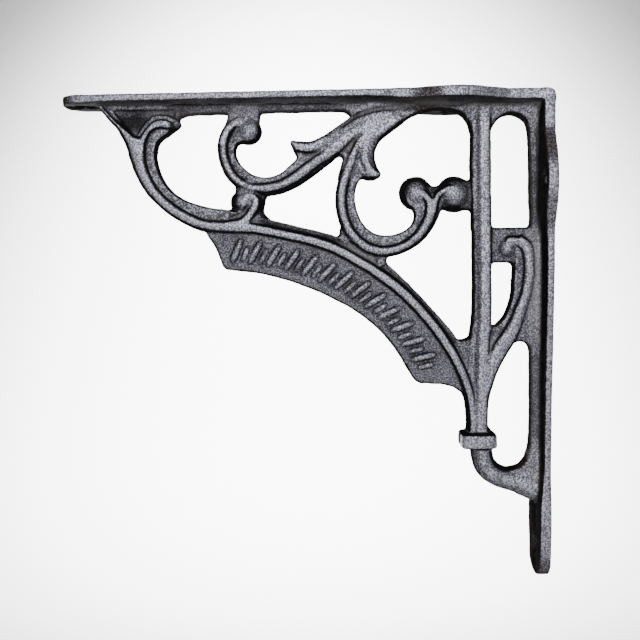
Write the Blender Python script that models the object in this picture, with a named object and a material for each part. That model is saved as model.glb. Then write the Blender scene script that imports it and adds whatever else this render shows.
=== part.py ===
"""Ornate cast iron shelf bracket: one grey-iron casting, a T-section angle with an openwork scroll web.

Frame: the back of the wall plate lies in the plane X = 0 and faces +X, the arm runs out towards -X,
the shelf face looks up, and the web stands in the plane Y = 0.
The origin is on the wall face, midway between the two upper wall screws.
Places in the web are given as two lengths in millimetres: out from the wall, and down from the shelf top.
"""
import bpy
import bmesh
import numpy as np
from math import cos, hypot, pi, radians, sin, sqrt
from mathutils import Matrix, Vector

MM = 0.001

# Whole bracket
ARM_REACH = 199.0
WALL_DROP = 197.8
SCREW_DROP = 36.0

# Plates: half widths across the web and thicknesses
SHELF_HALF_CORNER = 13.9
SHELF_HALF_ROOT = 16.4
SHELF_HALF_TIP = 9.6
WALL_HALF_ROOT = 13.6
WALL_HALF_TAIL = 9.3
TAIL_SWELL = 1.4
SHELF_LOBE_OUT = 38.0
WALL_LOBE_DOWN = 36.0
LOBE_LENGTH = 20.0
SHELF_LOBE_RISE = 5.0
WALL_LOBE_RISE = 5.8
PLATE_THIN = 3.2
SHELF_THICK_CORNER = 4.5
SHELF_THICK_TIP = 3.9
WALL_THICK_CORNER = 4.9
EDGE_BREAK = 0.7

# Screw holes, countersunk from the inner side
HOLE_DIAMETER = 4.8
SINK_DIAMETER = 8.6
SINK_DEPTH = 1.9
LOBE_HOLE_ASIDE = 12.6
TIP_HOLE_OUT = 191.0
TAIL_HOLE_DOWN = 185.0

# Web section, as half thicknesses either side of the middle plane
RIB_HALF = 4.9
CHANNEL_HALF = 2.8
EDGE_HALF = 3.5
STRIP_HALF = 4.1
PANEL_HALF = 3.7

# Raised strokes on the arched band
STROKE_COUNT = 17
STROKE_LENGTH = 9.6
STROKE_WIDTH = 2.6
STROKE_RISE = 0.8
STROKE_LEAN = 18.0

# Faces closer than this in angle count as one, in degrees
FLAT_WITHIN = 1.2

# Collar and pipe below the band
COLLAR_OUT = 28.4
COLLAR_WIDE = 14.0
COLLAR_DEEP = 15.0
COLLAR_CORNER = 3.2
COLLAR_TOP = 138.5
COLLAR_TALL = 6.3
PIPE_RADIUS = 4.35


for old in list(bpy.data.objects):
    bpy.data.objects.remove(old, do_unlink=True)

bracket = bpy.data.collections.new("cast_iron_shelf_bracket")
cutters = bpy.data.collections.new("cutters")
bpy.context.scene.collection.children.link(bracket)
bpy.context.scene.collection.children.link(cutters)

iron = bpy.data.materials.new("cast_iron")
iron.use_nodes = True
shader = iron.node_tree.nodes["Principled BSDF"]
shader.inputs["Base Color"].default_value = (0.085, 0.083, 0.09, 1.0)
shader.inputs["Metallic"].default_value = 0.85
shader.inputs["Roughness"].default_value = 0.5


def place(out, down, across=0.0):
    """The point of the frame, in metres, for lengths out from the wall, down from the top and across."""
    return Vector((-out * MM, across * MM, (SCREW_DROP - down) * MM))


def smooth_through(stations, count):
    """Points evenly spaced along a Catmull-Rom curve through the given rows of numbers."""
    rows = np.array(stations, float)
    ends = np.vstack([2 * rows[0] - rows[1], rows, 2 * rows[-1] - rows[-2]])
    fine = []
    for i in range(1, len(ends) - 2):
        p0, p1, p2, p3 = ends[i - 1:i + 3]
        for t in np.linspace(0, 1, 24, endpoint=False):
            fine.append(0.5 * (2 * p1 + (p2 - p0) * t + (2 * p0 - 5 * p1 + 4 * p2 - p3) * t ** 2
                               + (3 * p1 - p0 - 3 * p2 + p3) * t ** 3))
    fine.append(rows[-1])
    fine = np.array(fine)
    middle = (fine[:, 0:2] + fine[:, 2:4]) / 2 if rows.shape[1] >= 4 else fine[:, 0:1]
    run = np.concatenate([[0], np.cumsum(np.hypot.reduce(np.diff(middle, axis=0), axis=1))])
    wanted = np.linspace(0, run[-1], count)
    return np.stack([np.interp(wanted, run, fine[:, k]) for k in range(fine.shape[1])], 1)


def closed_mesh(name, loops):
    """A closed body from a row of loops with the same number of points, capped at both ends."""
    mesh = bpy.data.meshes.new(name)
    n = len(loops[0])
    points = [tuple(p) for loop in loops for p in loop]
    faces = []
    for i in range(len(loops) - 1):
        for k in range(n):
            a, b = i * n + k, i * n + (k + 1) % n
            faces.append((a, b, b + n))
            faces.append((a, b + n, a + n))
    faces.append(tuple(range(n - 1, -1, -1)))
    faces.append(tuple(range((len(loops) - 1) * n, len(loops) * n)))
    mesh.from_pydata(points, [], faces)
    shape = bmesh.new()
    shape.from_mesh(mesh)
    bmesh.ops.recalc_face_normals(shape, faces=shape.faces)
    if shape.calc_volume(signed=True) < 0:
        bmesh.ops.reverse_faces(shape, faces=shape.faces)
    bmesh.ops.triangulate(shape, faces=[f for f in shape.faces if len(f.verts) > 4])
    shape.to_mesh(mesh)
    shape.free()
    body = bpy.data.objects.new(name, mesh)
    cutters.objects.link(body)
    return body


def scroll_profile(width, rib, top, lower=0.0):
    """Across the strip from the rib's edge: the place and the half thickness of each profile point."""
    low = CHANNEL_HALF - lower
    return [(0.0, top - 1.6), (0.2 * rib, top - 0.3), (0.62 * rib, top), (rib + 0.06 * (width - rib), low + 0.7),
            (rib + 0.5 * (width - rib), low), (width, EDGE_HALF - lower)]


def ridge_profile(width, crest, top, lower=0.0):
    """Across a leaf: low edges and one crest between them."""
    low = CHANNEL_HALF - lower
    return [(0.0, low), (0.5 * crest, low + 0.5), (0.9 * crest, top),
            (crest + 0.15 * (width - crest), top), (crest + 0.5 * (width - crest), low + 0.7), (width, low)]


def strip(name, stations, count, profile=scroll_profile, top=RIB_HALF, lower=0.0):
    """One limb of the web: a loft whose rows give the rib's edge, the other edge and the rib's width."""
    loops = []
    for a_out, a_down, b_out, b_down, rib in smooth_through(stations, count):
        width = hypot(b_out - a_out, b_down - a_down)
        rib = min(rib, 0.8 * width)
        rows = profile(width, rib, top, lower)
        front = []
        back = []
        for s, half in rows:
            out = a_out + (b_out - a_out) * s / width
            down = a_down + (b_down - a_down) * s / width
            front.append(place(out, down, -half))
            back.append(place(out, down, half))
        loops.append(front + back[::-1])
    return closed_mesh(name, loops)


def slab(name, outline, half):
    """A flat piece of the web: a closed outline carried to the same half thickness on both sides."""
    loops = [[place(out, down, -half) for out, down in outline], [place(out, down, half) for out, down in outline]]
    return closed_mesh(name, loops)


def ball(name, out, down, radius, half, turns=12):
    """A boss rounded on both faces: a sphere drawn out to the given half thickness."""
    bpy.ops.mesh.primitive_uv_sphere_add(segments=turns, ring_count=turns // 2 + 2, radius=1.0)
    body = bpy.context.object
    body.name = name
    body.data.transform(Matrix.Diagonal((radius * MM, radius * MM, half * MM, 1.0)))
    body.data.transform(Matrix.Rotation(radians(90), 4, "X"))
    body.data.transform(Matrix.Translation(place(out, down)))
    for home in list(body.users_collection):
        home.objects.unlink(body)
    cutters.objects.link(body)
    return body


def lobe(along, centre, rise):
    """The ear of a plate round its pair of screws: how far it stands out past the plate's edge."""
    x = (along - centre) / LOBE_LENGTH
    return rise * cos(pi / 2 * x) ** 1.2 if abs(x) < 1 else 0.0


def ease(x, start, end):
    """A smooth step from nought at start to one at end."""
    t = min(max((x - start) / (end - start), 0.0), 1.0)
    return t * t * (3 - 2 * t)


def round_end(along, end, radius):
    """How much of the width is left near a rounded end."""
    short = max(along - (end - radius), 0.0)
    return sqrt(max(1.0 - (short / radius) ** 2, 0.0))


def shelf_half(out):
    base = SHELF_HALF_CORNER + (SHELF_HALF_ROOT - SHELF_HALF_CORNER) * ease(out, 10, 50)
    base += (SHELF_HALF_TIP - SHELF_HALF_ROOT) * max(out - 60.0, 0.0) / (ARM_REACH - 69.0)
    return (base + lobe(out, SHELF_LOBE_OUT, SHELF_LOBE_RISE)) * max(round_end(out, ARM_REACH, 8.0), 0.25)


def shelf_thick(out):
    thick = SHELF_THICK_CORNER + (PLATE_THIN - SHELF_THICK_CORNER) * ease(out, 50, 75)
    return thick + (SHELF_THICK_TIP - PLATE_THIN) * ease(out, 175, 190)


def wall_half(down):
    base = WALL_HALF_ROOT + (WALL_HALF_TAIL - WALL_HALF_ROOT) * ease(down, 60, 150)
    base += TAIL_SWELL * sin(pi * ease(down, 152, 196))
    return (base + lobe(down, WALL_LOBE_DOWN, WALL_LOBE_RISE)) * max(round_end(down, WALL_DROP, 8.0), 0.25)


def wall_thick(down):
    thick = WALL_THICK_CORNER + (PLATE_THIN - WALL_THICK_CORNER) * ease(down, 48, 62)
    return thick + (WALL_THICK_CORNER - PLATE_THIN) * ease(down, 150, 172)


def plate(name, length, half_at, thick_at, spot, count):
    """A plate along one arm: a rectangle with broken edges, carried from the corner to a rounded end."""
    lay = [length * k / (count - 1.0) for k in range(count - 1)]
    lay = [a for a in lay if a < length - 8.0]
    lay += [length - 8.0 + 8.0 * sin(pi / 2 * k / 6.0) for k in range(7)]
    loops = []
    for along in lay:
        w = half_at(along)
        t = thick_at(along)
        c = EDGE_BREAK
        ring = [(-w + c, 0.0), (w - c, 0.0), (w, c), (w - 0.15, t - c), (w - 0.15 - c, t),
                (-w + 0.15 + c, t), (-w + 0.15, t - c), (-w, c)]
        loops.append([spot(along, depth, across) for across, depth in ring])
    return closed_mesh(name, loops)


def join(target, other, operation="UNION"):
    """Adds a piece to the casting, or cuts it away."""
    step = target.modifiers.new(other.name, "BOOLEAN")
    step.operation = operation
    step.solver = "EXACT"
    step.object = other


# Plates
shelf = plate("shelf_plate", ARM_REACH, shelf_half, shelf_thick, lambda a, d, y: place(a, d, y), 27)
wall = plate("wall_plate", WALL_DROP, wall_half, wall_thick, lambda a, d, y: place(d, a, y), 27)

# Web strips along the plates
top_strip = slab("top_strip", [
    (184.0, 2.0), (1.5, 2.0), (1.5, 12.0), (7.6, 12.0), (8.9, 9.8), (11.3, 7.8), (14.7, 7.0), (18.2, 7.6),
    (21.4, 9.6), (23.0, 12.5), (31.8, 12.5), (32.4, 9.8), (34.2, 7.6), (37.4, 6.0), (41.7, 5.2), (46.0, 5.5),
    (51.5, 6.8), (56.5, 8.9), (60.0, 11.6), (79.6, 11.6), (80.6, 7.8), (83.2, 6.2), (94.0, 6.2), (116.5, 6.6),
    (133.0, 6.8), (147.0, 7.3), (150.6, 8.6), (180.0, 8.5)], STRIP_HALF)
wall_strip = slab("wall_strip", [
    (1.5, 3.5), (9.0, 9.5), (8.2, 16.0), (7.6, 26.0), (7.2, 45.0), (7.0, 100.0), (7.1, 138.0), (7.5, 145.4),
    (8.8, 149.8), (11.4, 152.6), (15.6, 153.9), (17.0, 157.0), (8.0, 164.0), (1.5, 166.5)], STRIP_HALF)

# Outer scroll: down from the shelf, along the back of the arched band and into the column
outer_scroll = strip("outer_scroll", [
    (186.0, 2.2, 151.0, 2.2, 7.0), (180.6, 7.7, 151.2, 9.6, 6.6), (176.0, 12.4, 154.6, 13.7, 6.2),
    (172.2, 18.7, 159.6, 18.3, 5.8), (169.9, 25.7, 160.8, 24.6, 4.4), (166.9, 32.7, 159.4, 31.0, 3.4),
    (163.0, 39.0, 156.2, 36.7, 3.2), (157.8, 44.2, 151.5, 41.0, 3.2), (151.4, 48.9, 145.0, 43.9, 3.4),
    (143.0, 53.3, 138.0, 45.7, 3.4), (133.0, 55.2, 130.8, 46.6, 3.5), (122.0, 56.0, 122.0, 48.8, 3.5),
    (113.8, 57.3, 115.3, 50.2, 3.5), (99.0, 60.6, 100.3, 54.0, 3.5), (88.0, 64.4, 86.6, 57.6, 3.5),
    (78.4, 69.6, 75.0, 63.0, 3.5), (71.4, 74.0, 66.6, 68.4, 3.5), (60.7, 82.2, 56.7, 77.6, 3.5),
    (50.0, 93.7, 45.6, 89.6, 3.5), (42.8, 103.8, 37.4, 99.6, 3.5), (38.4, 111.4, 32.0, 109.0, 3.5),
    (34.4, 121.4, 28.8, 119.6, 3.4), (32.8, 131.0, 27.6, 131.0, 3.4), (32.8, 140.0, 27.6, 140.0, 3.4)], 38)

# Arched band under the scroll, its end corners cut square
band_low = smooth_through([(128.6, 71.2, 0, 0), (117.7, 72.7, 0, 0), (106.8, 75.4, 0, 0), (95.8, 79.4, 0, 0),
                           (84.9, 84.6, 0, 0), (77.6, 89.0, 0, 0), (70.3, 94.9, 0, 0), (63.4, 102.6, 0, 0),
                           (58.7, 110.0, 0, 0), (55.6, 115.4, 0, 0)], 18)[:, 0:2]
band_high = smooth_through([(37.0, 112.0, 0, 0), (41.6, 103.0, 0, 0), (49.0, 92.8, 0, 0), (59.8, 81.4, 0, 0),
                            (70.6, 73.2, 0, 0), (77.8, 68.8, 0, 0), (88.6, 63.2, 0, 0), (99.4, 59.6, 0, 0),
                            (114.0, 56.4, 0, 0), (130.0, 54.0, 0, 0), (141.6, 52.6, 0, 0)], 18)[:, 0:2]
panel = slab("band_panel", [(139.6, 57.0), (137.4, 60.0), (135.2, 64.4), (133.4, 69.4), (132.2, 70.8)]
             + [tuple(p) for p in band_low]
             + [(54.2, 117.2), (52.2, 118.2), (47.0, 118.4), (42.8, 118.6), (38.4, 119.8), (35.2, 122.2), (33.2, 126.0),
                (31.0, 126.0)]
             + [tuple(p) for p in band_high], PANEL_HALF)

# Second scroll: a curl with a ball under the shelf, a bowl, then the stem up to the leaves
second_scroll = strip("second_scroll", [
    (129.4, 3.0, 118.0, 3.0, 2.8), (130.8, 9.4, 117.8, 9.0, 2.8), (132.8, 13.4, 118.2, 14.0, 2.8),
    (134.2, 16.6, 122.0, 17.6, 2.8), (134.9, 20.0, 126.8, 19.2, 2.8), (134.8, 24.0, 128.0, 22.8, 2.8),
    (133.4, 29.4, 126.4, 27.1, 2.8), (130.4, 34.2, 122.6, 31.0, 3.0), (124.6, 38.2, 118.6, 32.6, 3.0),
    (117.4, 39.5, 115.0, 32.7, 3.2), (109.8, 38.5, 109.4, 31.2, 3.4), (102.4, 35.3, 104.9, 27.4, 3.6),
    (94.4, 29.8, 98.6, 22.0, 3.8), (86.2, 23.8, 91.2, 16.4, 4.0), (78.4, 18.6, 83.0, 10.6, 4.2),
    (70.0, 13.6, 74.6, 5.0, 4.4)], 26, top=4.8)

# Leaf on the stem, pointing back to the ball
stem_leaf = strip("stem_leaf", [
    (104.9, 19.6, 105.1, 18.4, 0.7), (102.4, 24.4, 101.2, 18.7, 3.0), (98.4, 25.6, 96.6, 18.7, 4.4),
    (93.8, 23.6, 90.6, 16.1, 4.6), (88.6, 20.6, 86.0, 13.4, 4.4), (83.6, 15.6, 81.6, 9.4, 3.6),
    (80.0, 10.0, 78.0, 4.0, 3.0)], 10, ridge_profile, top=4.5, lower=0.15)

# Big scroll: from the shelf, round the bowl on the band, up to its two curls
big_scroll = strip("big_scroll", [
    (76.0, 8.0, 62.0, 8.0, 3.4), (80.4, 15.0, 67.0, 15.0, 3.4), (82.6, 21.0, 70.6, 22.0, 3.4),
    (84.2, 27.6, 74.4, 29.6, 3.4), (86.0, 34.0, 78.2, 36.6, 3.4), (86.8, 41.0, 79.0, 42.2, 3.4),
    (86.0, 48.8, 77.8, 48.3, 3.4), (82.6, 57.0, 74.8, 53.7, 3.4), (76.0, 63.4, 70.2, 56.7, 3.4),
    (67.8, 65.8, 64.2, 57.4, 3.4), (59.4, 64.3, 58.9, 55.7, 3.4), (52.0, 60.0, 55.4, 52.8, 3.4),
    (47.2, 53.6, 54.3, 49.6, 3.4), (44.3, 47.4, 54.9, 46.8, 3.4), (43.2, 43.0, 57.6, 44.2, 3.4),
    (43.6, 39.6, 58.4, 41.6, 3.4)], 28)

# Leaf on the big scroll, its tip turned towards the wall
scroll_leaf = strip("scroll_leaf", [
    (79.0, 4.0, 53.0, 4.0, 7.0), (78.4, 10.0, 58.0, 9.9, 6.0), (78.2, 15.0, 64.6, 14.9, 4.6),
    (78.6, 20.0, 69.8, 19.8, 4.0), (79.0, 25.2, 70.9, 25.0, 4.0), (78.2, 31.0, 70.2, 28.6, 4.0),
    (74.6, 33.9, 69.0, 31.0, 3.0), (71.0, 34.2, 68.1, 32.4, 1.6)], 11, ridge_profile, top=4.7, lower=-0.15)

# Curls of the big scroll: two domes and the web that ties them to the upright
curl_left = ball("curl_left", 53.9, 40.2, 6.3, 4.9, 16)
curl_right = ball("curl_right", 38.1, 40.7, 6.9, 4.8, 16)
curl_root = slab("curl_root", [(58.0, 45.4), (45.0, 48.0), (42.6, 46.0), (36.0, 46.4), (29.4, 47.6), (29.4, 34.4),
                               (36.0, 35.4), (41.8, 36.0), (46.6, 38.4), (52.0, 36.4), (58.6, 40.0)], 3.3)

# Upright bar with its rib on the wall side
upright = strip("upright", [
    (23.7, 3.0, 34.0, 3.0, 4.4), (23.8, 9.0, 32.6, 8.6, 4.4), (23.8, 15.0, 31.2, 14.0, 4.4),
    (23.6, 30.0, 30.8, 30.0, 4.4), (23.4, 60.0, 30.4, 60.0, 4.4), (23.3, 88.0, 30.2, 88.0, 4.4),
    (23.8, 98.0, 31.6, 98.6, 4.4), (24.6, 112.0, 32.6, 112.0, 4.2), (24.8, 126.0, 32.4, 126.0, 4.0),
    (24.8, 140.0, 32.4, 140.0, 4.0)], 11, top=4.7)

# Bridge from the bar to the wall strip, and the stem that falls from it into the column
bridge = slab("bridge", [(25.0, 54.3), (6.0, 54.3), (4.0, 75.0), (12.6, 75.0), (13.2, 69.8), (15.6, 68.6),
                         (25.0, 68.4)], 3.1)
bridge_ball = ball("bridge_ball", 17.2, 63.4, 3.3, 4.8)
stem = strip("stem", [
    (21.6, 57.0, 20.6, 60.6, 2.4), (16.5, 56.2, 16.6, 60.0, 2.6), (11.4, 57.4, 13.8, 61.0, 2.8),
    (7.4, 61.2, 12.6, 63.8, 3.0), (5.9, 67.0, 12.8, 68.0, 3.2), (5.9, 74.4, 13.2, 74.0, 3.4),
    (7.0, 81.6, 13.8, 80.6, 3.4), (9.0, 87.6, 15.6, 86.6, 3.4), (10.8, 94.0, 18.8, 91.2, 3.4),
    (13.4, 100.4, 22.8, 94.6, 3.6), (16.4, 105.4, 26.0, 101.0, 3.6), (20.4, 113.0, 28.0, 110.0, 3.4),
    (23.2, 121.0, 29.4, 119.6, 3.2), (24.7, 129.0, 30.0, 129.0, 3.2), (24.8, 140.0, 30.0, 140.0, 3.2)], 21)
fork = slab("fork", [(4.0, 72.0), (12.6, 72.0), (13.6, 84.0), (16.4, 92.0), (15.0, 102.8), (13.2, 101.2), (11.0, 100.8),
                     (8.8, 101.6), (7.4, 103.6), (7.0, 107.0), (4.0, 107.0)], 3.4)
column = slab("column", [(38.0, 108.0), (38.4, 99.6), (36.2, 98.4), (33.4, 98.0), (31.0, 96.6), (29.6, 93.0),
                         (26.0, 93.0), (24.9, 118.0), (24.9, 140.0), (32.7, 140.0), (32.7, 128.0)], 3.0)

# Lower curl of the outer scroll: two domes on a neck that reaches the second scroll
neck = slab("neck", [(116.6, 34.0), (128.2, 34.0), (128.8, 41.0), (129.6, 46.6), (132.0, 51.5), (113.6, 51.5),
                     (117.8, 47.4), (116.8, 42.0)], 3.6)
neck_left = ball("neck_left", 124.9, 42.8, 4.4, 4.9)
neck_right = ball("neck_right", 120.3, 43.6, 4.1, 4.4)

# Dome and crescent of the curls under the shelf
shelf_ball = ball("shelf_ball", 123.1, 13.4, 5.3, 4.9, 14)
crescent = strip("crescent", [
    (165.2, 14.4, 162.6, 16.4, 1.2), (162.6, 10.6, 160.0, 14.0, 2.0), (158.0, 9.2, 157.6, 13.2, 2.0),
    (154.0, 9.6, 154.4, 13.4, 1.9), (151.4, 11.0, 152.4, 13.0, 1.0)], 9, ridge_profile, top=4.7, lower=0.3)

# Collar and the pipe that bends to the wall plate
wide, deep, corner = COLLAR_WIDE / 2, COLLAR_DEEP / 2, COLLAR_CORNER
collar_plan = [(-wide + corner, -deep), (wide - corner, -deep), (wide, -deep + corner), (wide, deep - corner),
               (wide - corner, deep), (-wide + corner, deep), (-wide, deep - corner), (-wide, -deep + corner)]
collar_rings = []
for down, grow in ((0.0, -0.7), (0.7, 0.0), (COLLAR_TALL - 1.1, 0.0), (COLLAR_TALL, -1.1)):
    scale = 1.0 + grow / wide
    collar_rings.append([place(COLLAR_OUT + x * scale, COLLAR_TOP + down, y * scale) for x, y in collar_plan])
collar = closed_mesh("collar", collar_rings)

pipe_rings = []
for out, down, turn in smooth_through([
        (27.1, 140.0, 90.0, 0.0), (27.1, 147.0, 90.0, 0.0), (26.0, 152.0, 68.0, 0.0), (22.8, 155.9, 38.0, 0.0),
        (18.4, 157.9, 14.0, 0.0), (13.0, 159.3, 14.0, 0.0), (7.6, 161.0, 18.0, 0.0), (2.4, 162.6, 18.0, 0.0)], 15)[:, 0:3]:
    swell = 1.0 + 0.16 * ease(-out, -14.5, -6.0)
    ring = []
    for k in range(12):
        spin = 2 * pi * k / 12
        side = PIPE_RADIUS * swell * cos(spin)
        ring.append(place(out + side * sin(radians(turn)), down + side * cos(radians(turn)),
                          PIPE_RADIUS * swell * sin(spin)))
    pipe_rings.append(ring)
pipe = closed_mesh("pipe", pipe_rings)

# Strokes on the band: one slanted lens-shaped stroke after another, on both faces
rail = smooth_through([(129.6, 63.4, 0, 0), (117.0, 64.8, 0, 0), (104.6, 67.6, 0, 0), (93.0, 71.6, 0, 0),
                       (82.0, 77.0, 0, 0), (72.0, 83.6, 0, 0), (62.6, 92.2, 0, 0), (54.6, 102.4, 0, 0),
                       (48.6, 112.0, 0, 0)], 2 * STROKE_COUNT + 1)[:, 0:2]
strokes = []
for k in range(STROKE_COUNT):
    out, down = rail[2 * k + 1]
    step = rail[2 * k + 2] - rail[2 * k]
    lean = np.arctan2(step[1], -step[0]) + radians(90 + STROKE_LEAN)
    rings = []
    for s, w, h in ((-0.5, 0.3, 0.0), (-0.26, 1.0, 1.0), (0.26, 1.0, 1.0), (0.5, 0.3, 0.0)):
        middle = (out - s * STROKE_LENGTH * cos(lean), down + s * STROKE_LENGTH * sin(lean))
        ring = []
        for side, high in ((-0.5, PANEL_HALF - 0.6), (0.0, PANEL_HALF + h * STROKE_RISE), (0.5, PANEL_HALF - 0.6)):
            shift = side * w * STROKE_WIDTH
            ring.append((middle[0] - shift * sin(lean), middle[1] - shift * cos(lean), high))
        rings.append([place(o, d, -y) for o, d, y in ring] + [place(o, d, y) for o, d, y in ring[::-1]])
    strokes.append(closed_mesh("stroke_%02d" % (k + 1), rings))

# The casting: every limb is joined to the shelf plate
casting = shelf
casting.name = "shelf_bracket"
cutters.objects.unlink(casting)
bracket.objects.link(casting)
limbs = [wall, top_strip, wall_strip, panel, outer_scroll, second_scroll, neck, big_scroll, scroll_leaf, stem_leaf,
         upright, column, bridge, fork, stem, curl_root, curl_left, curl_right, neck_left, neck_right, shelf_ball,
         bridge_ball, crescent, collar, pipe] + strokes
for limb in limbs:
    join(casting, limb)

# Screw holes: two in each lobe, one near each end
for k, (spot, sink_along, axis) in enumerate([
        (place(SHELF_LOBE_OUT, 0.0, -LOBE_HOLE_ASIDE), SHELF_THICK_CORNER, "Z"),
        (place(SHELF_LOBE_OUT, 0.0, LOBE_HOLE_ASIDE), SHELF_THICK_CORNER, "Z"),
        (place(TIP_HOLE_OUT, 0.0, 0.0), SHELF_THICK_TIP, "Z"),
        (place(0.0, WALL_LOBE_DOWN, -LOBE_HOLE_ASIDE), WALL_THICK_CORNER, "X"),
        (place(0.0, WALL_LOBE_DOWN, LOBE_HOLE_ASIDE), WALL_THICK_CORNER, "X"),
        (place(0.0, TAIL_HOLE_DOWN, 0.0), WALL_THICK_CORNER, "X")]):
    rings = []
    for depth, diameter in ((-1.0, HOLE_DIAMETER), (sink_along - SINK_DEPTH, HOLE_DIAMETER), (sink_along, SINK_DIAMETER),
                            (sink_along + 1.0, SINK_DIAMETER + 1.0)):
        ring = []
        for j in range(16):
            spin = 2 * pi * (j + 0.5) / 16
            u, v = diameter / 2 * cos(spin) * MM, diameter / 2 * sin(spin) * MM
            ring.append(spot + (Vector((u, v, -depth * MM)) if axis == "Z" else Vector((-depth * MM, u, v))))
        rings.append(ring)
    join(casting, closed_mesh("screw_hole_%d" % (k + 1), rings), "DIFFERENCE")

# Faces that the joins leave in one plane are merged
trim = casting.modifiers.new("trim", "DECIMATE")
trim.decimate_type = "DISSOLVE"
trim.angle_limit = radians(FLAT_WITHIN)

for tool in cutters.objects:
    tool.hide_render = True
    tool.display_type = "WIRE"
casting.data.materials.append(iron)
casting.data.shade_smooth()
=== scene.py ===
"""Ornate cast iron shelf bracket: one grey-iron casting, blacked and rubbed bright on its proud faces.

The bracket is one piece. Its scroll web is drawn as a height map over two lengths in millimetres, out from
the wall and down from the shelf top, and the whole casting is then skinned from one solid field.
"""
from math import cos, pi, radians, sin

import bpy
import numpy as np
from mathutils import Matrix, Vector


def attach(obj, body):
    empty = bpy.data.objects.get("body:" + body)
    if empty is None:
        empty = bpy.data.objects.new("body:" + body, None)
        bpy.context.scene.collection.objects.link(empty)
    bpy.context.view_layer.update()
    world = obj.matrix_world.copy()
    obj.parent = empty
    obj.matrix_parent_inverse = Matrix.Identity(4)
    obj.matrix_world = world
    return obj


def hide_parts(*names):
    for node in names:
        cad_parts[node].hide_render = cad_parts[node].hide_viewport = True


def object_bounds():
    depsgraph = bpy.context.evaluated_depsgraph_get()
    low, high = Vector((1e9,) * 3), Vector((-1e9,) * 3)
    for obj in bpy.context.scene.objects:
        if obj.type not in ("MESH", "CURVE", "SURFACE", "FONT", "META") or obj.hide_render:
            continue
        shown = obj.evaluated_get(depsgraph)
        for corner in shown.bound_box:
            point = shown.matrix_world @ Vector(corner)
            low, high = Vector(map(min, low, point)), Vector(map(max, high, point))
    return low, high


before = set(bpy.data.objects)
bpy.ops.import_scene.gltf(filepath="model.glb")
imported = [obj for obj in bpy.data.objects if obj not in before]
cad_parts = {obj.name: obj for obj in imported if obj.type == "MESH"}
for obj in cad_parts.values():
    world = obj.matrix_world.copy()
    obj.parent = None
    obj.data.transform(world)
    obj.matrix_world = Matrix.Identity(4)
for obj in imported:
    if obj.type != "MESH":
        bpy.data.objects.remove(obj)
cad_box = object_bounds()

# Camera
# It stands square to the web, a third of a metre away and level with the bridge, as the picture was taken.
# The lens and the small rise of the frame are those that put the bracket where the picture has it.
EYE = Vector((-0.08617, -0.33179, -0.03417))
YAW, PITCH, ROLL = radians(1.25), radians(1.9), radians(0.3)
ahead = Vector((-sin(YAW) * cos(PITCH), cos(YAW) * cos(PITCH), -sin(PITCH)))
level = ahead.cross(Vector((0, 0, 1))).normalized()
rise = level.cross(ahead)
right = level * cos(ROLL) - rise * sin(ROLL)
upward = level * sin(ROLL) + rise * cos(ROLL)
SENSOR, IMAGE, FOCAL, FRAME_RISE = 36.0, 640.0, 801.0, 26.0
lens = bpy.data.cameras.new("camera")
lens.sensor_width = SENSOR
lens.lens = FOCAL / IMAGE * SENSOR
lens.shift_y = -FRAME_RISE / IMAGE
camera = bpy.data.objects.new("camera", lens)
camera.matrix_world = Matrix((
    (right.x, upward.x, -ahead.x, EYE.x), (right.y, upward.y, -ahead.y, EYE.y),
    (right.z, upward.z, -ahead.z, EYE.z), (0, 0, 0, 1)))
bpy.context.scene.collection.objects.link(camera)
bpy.context.scene.camera = camera

# Scrolls of the web
# Each limb is a strip of cast iron with a flat rib along one edge and a hollow beside it. The limbs grow
# out of the shelf, roll up in balls and run together, all in one casting.

# Heights here are half thicknesses, up from the web's middle plane, and STEP is the distance between two
# places of the map.
STEP = 0.225
RIB, HOLLOW, EDGE = 4.9, 3.25, 3.7
CROWN, FLANK_FALL = 0.3, 1.1
out_line = np.arange(-3.15, 202.6, STEP)
down_line = np.arange(-3.15, 201.4, STEP)
OUT, DOWN = np.meshgrid(out_line, down_line, indexing="ij")


def along(stations, gap):
    """Rows of numbers gap apart along a Catmull-Rom curve: between two rows, each number is the cubic that
    leaves and arrives with half the slope from the row before to the row after."""
    rows = np.array(stations, float)
    ends = np.vstack([2 * rows[0] - rows[1], rows, 2 * rows[-1] - rows[-2]])[:, None]
    t = np.linspace(0, 1, 40, endpoint=False)[None, :, None]
    a, b, c, d = ends[:-3], ends[1:-2], ends[2:-1], ends[3:]
    fine = 0.5 * (2 * b + (c - a) * t + (2 * a - 5 * b + 4 * c - d) * t ** 2
                  + (3 * b - a - 3 * c + d) * t ** 3)
    fine = np.vstack([fine.reshape(-1, rows.shape[1]), rows[-1:]])
    middle = (fine[:, 0:2] + fine[:, 2:4]) / 2 if rows.shape[1] >= 4 else fine[:, 0:2]
    run = np.concatenate([[0], np.cumsum(np.hypot(*np.diff(middle, axis=0).T))])
    wanted = np.linspace(0, run[-1], int(run[-1] / gap) + 2)
    return np.stack([np.interp(wanted, run, fine[:, k]) for k in range(fine.shape[1])], 1)


def shoulder(past, radius, steep=3.0):
    """How far a rounded shoulder has dropped: a quarter circle of the radius, then a steep straight flank."""
    arc = radius - np.sqrt(np.clip(radius ** 2 - np.clip(past, 0, radius) ** 2, 0, None))
    return arc + steep * np.clip(past - radius, 0, None)


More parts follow.
